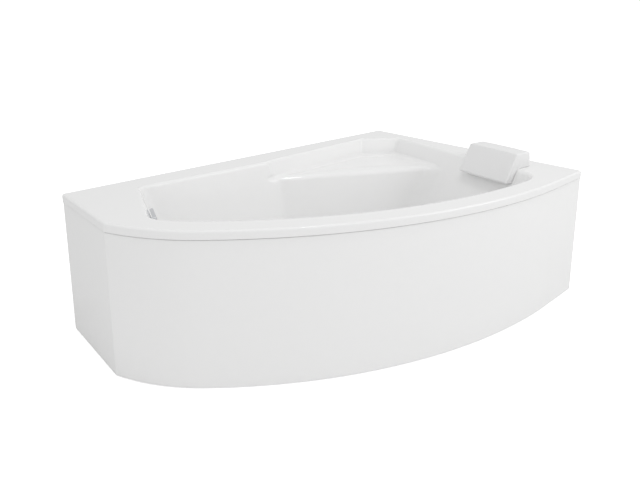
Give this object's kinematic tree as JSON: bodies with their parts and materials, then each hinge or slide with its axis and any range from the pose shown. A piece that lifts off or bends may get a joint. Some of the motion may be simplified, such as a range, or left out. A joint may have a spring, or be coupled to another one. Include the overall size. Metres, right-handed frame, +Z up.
{
  "type": "corner bathtub",
  "caption": "Asymmetric white acrylic corner bath with a curved front apron, an armrest shelf let into the rim, a pillow over the head end, a leg frame and a pop-up waste.",
  "frame": {"origin": "on the floor, below the middle of the bath's bounding box", "axes": "+X along the long wall from the narrow foot end to the head end, +Y towards the long wall, +Z up"},
  "size_m": [1.7, 1.126, 0.595],
  "materials": {
    "acrylic": "polished white acrylic",
    "soft_foam": "satin integral skin of soft moulded foam",
    "timber": "sawn softwood",
    "board": "raw chipboard",
    "zinc_steel": "zinc plated",
    "black_plastic": "moulded, matt",
    "seal_rubber": "matt",
    "chrome": "polished",
    "white_plastic": "moulded, satin",
    "cable_black": "sheathed cable, satin",
    "clip_plastic": "moulded, matt"
  },
  "bodies": {
    "bath": {"apron": "acrylic", "apron_clip_screws": "zinc_steel", "apron_clips": "clip_plastic", "apron_stay_screws": "zinc_steel", "apron_stays": "zinc_steel", "base_board": "board", "bath_shell": "acrylic", "foot_lock_nuts": "zinc_steel", "leg_rail_foot": "zinc_steel", "leg_rail_head": "zinc_steel", "leg_rail_middle": "zinc_steel", "overflow_body": "white_plastic", "overflow_collar": "chrome", "overflow_gasket": "seal_rubber", "overflow_pipe": "white_plastic", "pillow": "soft_foam", "pillow_pegs": "clip_plastic", "plug_cable": "cable_black", "rail_screws": "zinc_steel", "rim_batten_back": "timber", "rim_batten_front": "timber", "rim_batten_head": "timber", "trap": "white_plastic", "trap_union_nut": "white_plastic", "wall_hook_head": "zinc_steel", "wall_hook_left": "zinc_steel", "wall_hook_right": "zinc_steel", "waste_body": "white_plastic", "waste_flange": "chrome", "waste_gasket": "seal_rubber"},
    "foot_1": {"foot_rod_1": "zinc_steel", "foot_pad_1": "black_plastic"},
    "foot_2": {"foot_rod_2": "zinc_steel", "foot_pad_2": "black_plastic"},
    "foot_3": {"foot_rod_3": "zinc_steel", "foot_pad_3": "black_plastic"},
    "foot_4": {"foot_rod_4": "zinc_steel", "foot_pad_4": "black_plastic"},
    "foot_5": {"foot_rod_5": "zinc_steel", "foot_pad_5": "black_plastic"},
    "foot_6": {"foot_rod_6": "zinc_steel", "foot_pad_6": "black_plastic"},
    "plug": {"waste_plug": "chrome", "plug_seal": "seal_rubber"},
    "knob": {"overflow_knob": "chrome"}
  },
  "joints": [
    {"name": "foot_1_height", "type": "slide", "parent": "bath", "child": "foot_1", "axis": [0, 0, 1], "range_m": [-0.01, 0.008]},
    {"name": "foot_2_height", "type": "slide", "parent": "bath", "child": "foot_2", "axis": [0, 0, 1], "range_m": [-0.01, 0.008]},
    {"name": "foot_3_height", "type": "slide", "parent": "bath", "child": "foot_3", "axis": [0, 0, 1], "range_m": [-0.01, 0.008]},
    {"name": "foot_4_height", "type": "slide", "parent": "bath", "child": "foot_4", "axis": [0, 0, 1], "range_m": [-0.01, 0.008]},
    {"name": "foot_5_height", "type": "slide", "parent": "bath", "child": "foot_5", "axis": [0, 0, 1], "range_m": [-0.01, 0.008]},
    {"name": "foot_6_height", "type": "slide", "parent": "bath", "child": "foot_6", "axis": [0, 0, 1], "range_m": [-0.01, 0.008]},
    {"name": "knob_turn", "type": "hinge", "parent": "bath", "child": "knob", "pos_m": [-0.62738, 0.32572, 0.445], "axis": [0.9033, -0.3288, 0.2756], "range_deg": [0, 100]},
    {"name": "plug_lift", "type": "slide", "parent": "bath", "child": "plug", "axis": [0, 0, 1], "range_m": [0, 0.01]}
  ],
  "couplings": [
    {"joint": "plug_lift", "follows": "knob_turn", "m_per_rad": 0.00572}
  ]
}
